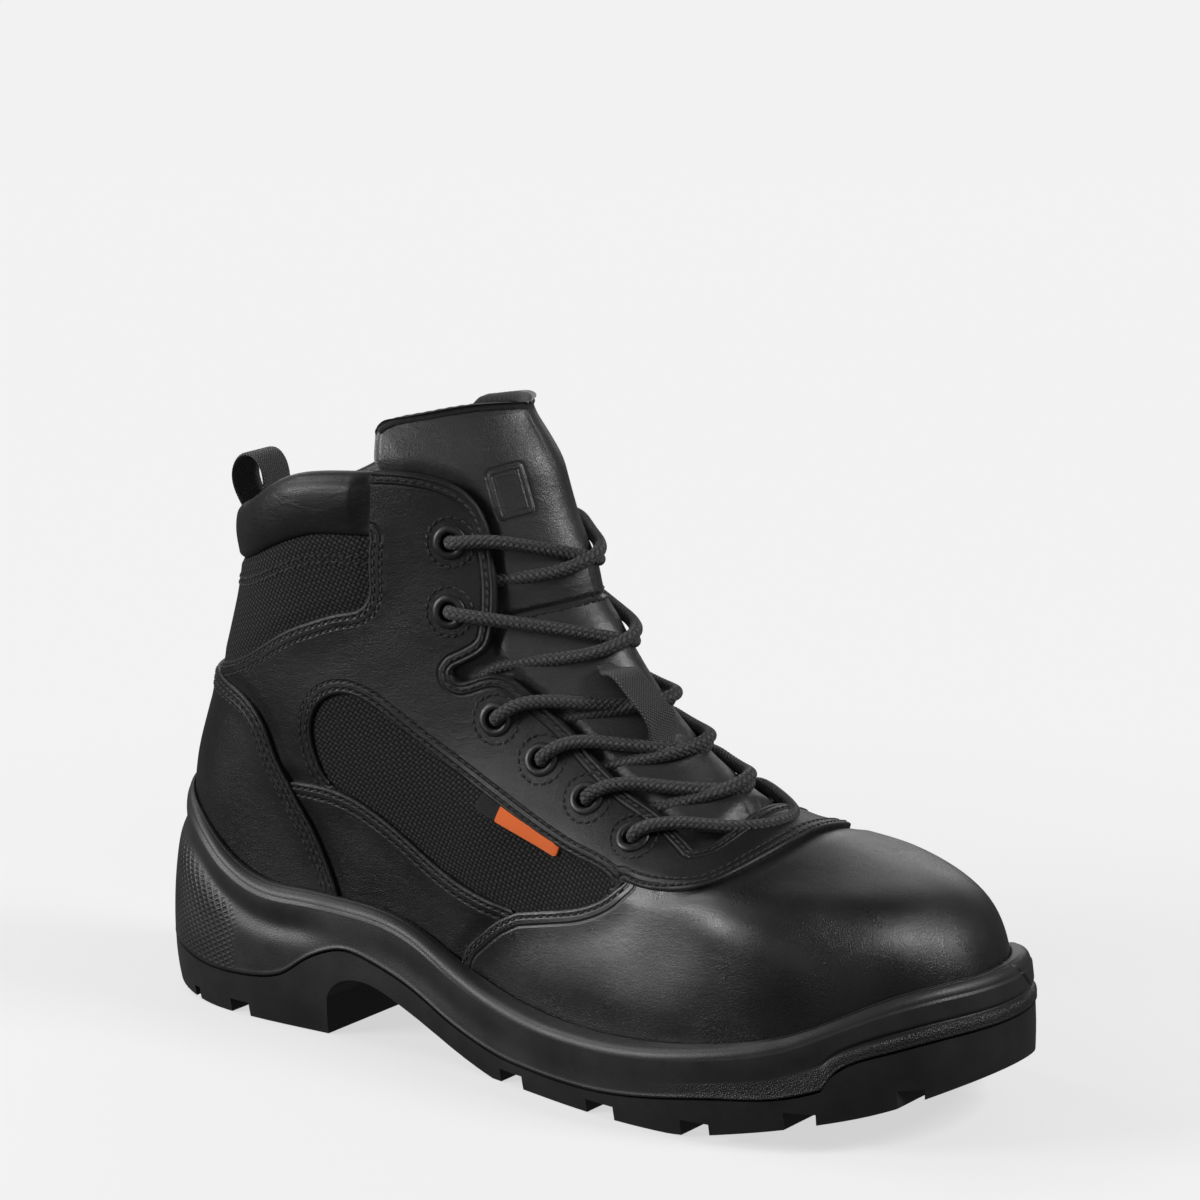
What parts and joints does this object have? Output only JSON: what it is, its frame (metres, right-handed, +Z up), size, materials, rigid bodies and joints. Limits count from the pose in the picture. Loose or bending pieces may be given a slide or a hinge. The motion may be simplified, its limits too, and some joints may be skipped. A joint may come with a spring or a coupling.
{
  "type": "steel toe work boot",
  "caption": "Black ankle-height steel toe work boot, laced, with padded collar and tongue, woven side panels, pull loop and lugged sole.",
  "frame": {"origin": "centre of the overall box at the ground", "axes": "+X towards the toe, +Y towards the medial side of this right boot, +Z up"},
  "size_m": [0.306, 0.114, 0.2042],
  "materials": {
    "upper_leather": "satin, fine grain",
    "padded_leather": "soft satin, fine grain",
    "ballistic_nylon": "matte basket weave",
    "webbing": "ribbed narrow weave",
    "lace_cord": "round braid with grey flecks",
    "label_fabric": "matte woven tag",
    "lining_fabric": "matte mesh",
    "foam": "matte foam",
    "eyelet_metal": "black enamel",
    "steel": "plain pressed steel",
    "outsole_rubber": "stippled satin",
    "midsole_pu": "stippled matte",
    "board": "matte fibre board",
    "footbed_foam": "matte knitted top",
    "lace_tip": "smooth film"
  },
  "bodies": {
    "boot": {"outsole": "outsole_rubber", "midsole": "midsole_pu", "shank": "steel", "insole_board": "board", "steel_toe_cap": "steel", "cap_edge_strip": "outsole_rubber", "heel_stiffener": "board", "foam_interlining": "foam", "lining": "lining_fabric", "vamp": "upper_leather", "quarter_lateral": "upper_leather", "quarter_medial": "upper_leather", "foxing_lateral": "upper_leather", "foxing_medial": "upper_leather", "heel_cover": "upper_leather", "backstay": "upper_leather", "collar": "padded_leather", "side_textile_lateral": "ballistic_nylon", "side_textile_medial": "ballistic_nylon", "ankle_textile": "ballistic_nylon", "side_label": "label_fabric", "eyelet_stay_lateral": "board", "eyelet_stay_medial": "board", "eyelets_lateral": "eyelet_metal", "eyelets_medial": "eyelet_metal", "lace": "lace_cord", "lace_tips": "lace_tip", "lace_keeper": "webbing", "tongue_base": "padded_leather", "tongue_middle": "padded_leather", "gusset_lateral": "lining_fabric", "gusset_medial": "lining_fabric"},
    "tongue_flap": {"tongue_top": "padded_leather"},
    "loop": {"pull_loop": "webbing"},
    "insole": {"footbed": "footbed_foam"}
  },
  "joints": [
    {"name": "tongue_fold", "type": "hinge", "parent": "boot", "child": "tongue_flap", "pos_m": [-0.0081, 0.00154, 0.1774], "axis": [0, 1, 0], "range_deg": [0, 55]},
    {"name": "loop_tilt", "type": "hinge", "parent": "boot", "child": "loop", "pos_m": [-0.1259, 0.00154, 0.152], "axis": [0, -1, 0], "range_deg": [0, 30], "stiffness_Nm_per_rad": 0.002},
    {"name": "footbed_lift", "type": "hinge", "parent": "boot", "child": "insole", "pos_m": [0.1335, 0.00154, 0.0304], "axis": [0, 1, 0], "range_deg": [0, 9]}
  ]
}
